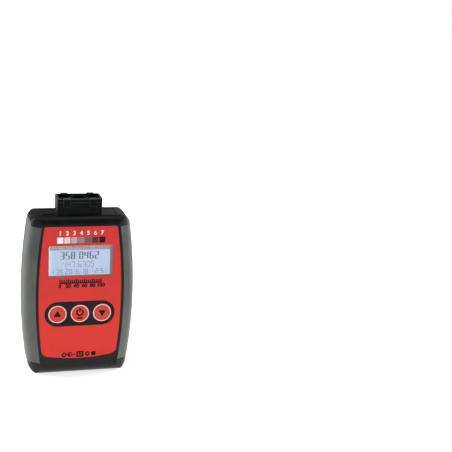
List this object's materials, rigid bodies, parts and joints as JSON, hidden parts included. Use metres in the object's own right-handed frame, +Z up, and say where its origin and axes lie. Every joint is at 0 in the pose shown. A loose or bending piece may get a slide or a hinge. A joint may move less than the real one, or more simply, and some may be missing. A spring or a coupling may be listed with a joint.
{
  "type": "hand-held colour meter",
  "caption": "Hand-held colour meter: soft-sided upright case with a display, round keys and a measuring head on its top end, battery door behind.",
  "frame": {"origin": "under the middle of the meter, on the plane that its lower end stands on", "axes": "+X to the right seen from the front, +Y from the front face to the back, +Z up the case to the measuring head"},
  "size_m": [0.0794, 0.033, 0.1287],
  "materials": {
    "case_black": "satin moulded ABS",
    "grip_grey": "fine matt soft-touch rubber",
    "label_red": "satin printed film",
    "surround_black": "semi-gloss",
    "key_red": "satin",
    "switch_black": "plain",
    "window_clear": "clear polished",
    "foam_black": "closed-cell foam",
    "lcd_glass": "polished",
    "backlight_blue": "diffusing",
    "frame_white": "plain",
    "pin_metal": "tinned",
    "board_green": "solder resist",
    "chip_black": "moulded epoxy",
    "ribbon_white": "smooth film",
    "screw_steel": "blackened zinc",
    "head_black": "semi-gloss ABS",
    "optics_black": "matt anti-reflection",
    "lamp_clear": "clear epoxy",
    "cell_silver": "printed sleeve",
    "contact_metal": "nickel plate"
  },
  "bodies": {
    "case": {"front_shell": "case_black", "rear_shell": "case_black", "top_end_panel": "case_black", "bottom_end_panel": "case_black", "left_grip": "grip_grey", "right_grip": "grip_grey", "face_label": "label_red", "key_surround": "surround_black", "key_switches": "switch_black", "display_window": "window_clear", "display_gasket": "foam_black", "lcd_glass": "lcd_glass", "lcd_backlight": "backlight_blue", "lcd_frame": "frame_white", "display_pins": "pin_metal", "main_board": "board_green", "microcontroller": "chip_black", "board_parts": "chip_black", "beeper": "chip_black", "ribbon_sockets": "frame_white", "sensor_ribbon": "ribbon_white", "case_screws": "screw_steel", "board_screws": "screw_steel", "sensor_screws": "screw_steel", "head_housing": "head_black", "aperture_cap": "head_black", "aperture_gasket": "foam_black", "aperture_glass": "window_clear", "optics_block": "optics_black", "measuring_lamps": "lamp_clear", "collecting_lens": "window_clear", "sensor_board": "board_green", "colour_sensor": "chip_black", "cell_left": "cell_silver", "cell_right": "cell_silver", "bridge_contact": "contact_metal", "positive_contact": "contact_metal", "negative_contact": "contact_metal"},
    "up_key": {"key_up": "key_red", "plunger_up": "switch_black"},
    "power_key": {"key_power": "key_red", "plunger_power": "switch_black"},
    "down_key": {"key_down": "key_red", "plunger_down": "switch_black"},
    "door": {"battery_door": "case_black"}
  },
  "joints": [
    {"name": "up_key_press", "type": "slide", "parent": "case", "child": "up_key", "axis": [0, 1, 0], "range_m": [0, 0.0005], "stiffness_N_per_m": 2500, "springref_m": -0.0001},
    {"name": "power_key_press", "type": "slide", "parent": "case", "child": "power_key", "axis": [0, 1, 0], "range_m": [0, 0.0005], "stiffness_N_per_m": 2500, "springref_m": -0.0001},
    {"name": "down_key_press", "type": "slide", "parent": "case", "child": "down_key", "axis": [0, 1, 0], "range_m": [0, 0.0005], "stiffness_N_per_m": 2500, "springref_m": -0.0001},
    {"name": "battery_door_hinge", "type": "hinge", "parent": "case", "child": "door", "pos_m": [0, 0.0153, 0.0741], "axis": [1, 0, 0], "range_deg": [0, 90]}
  ]
}
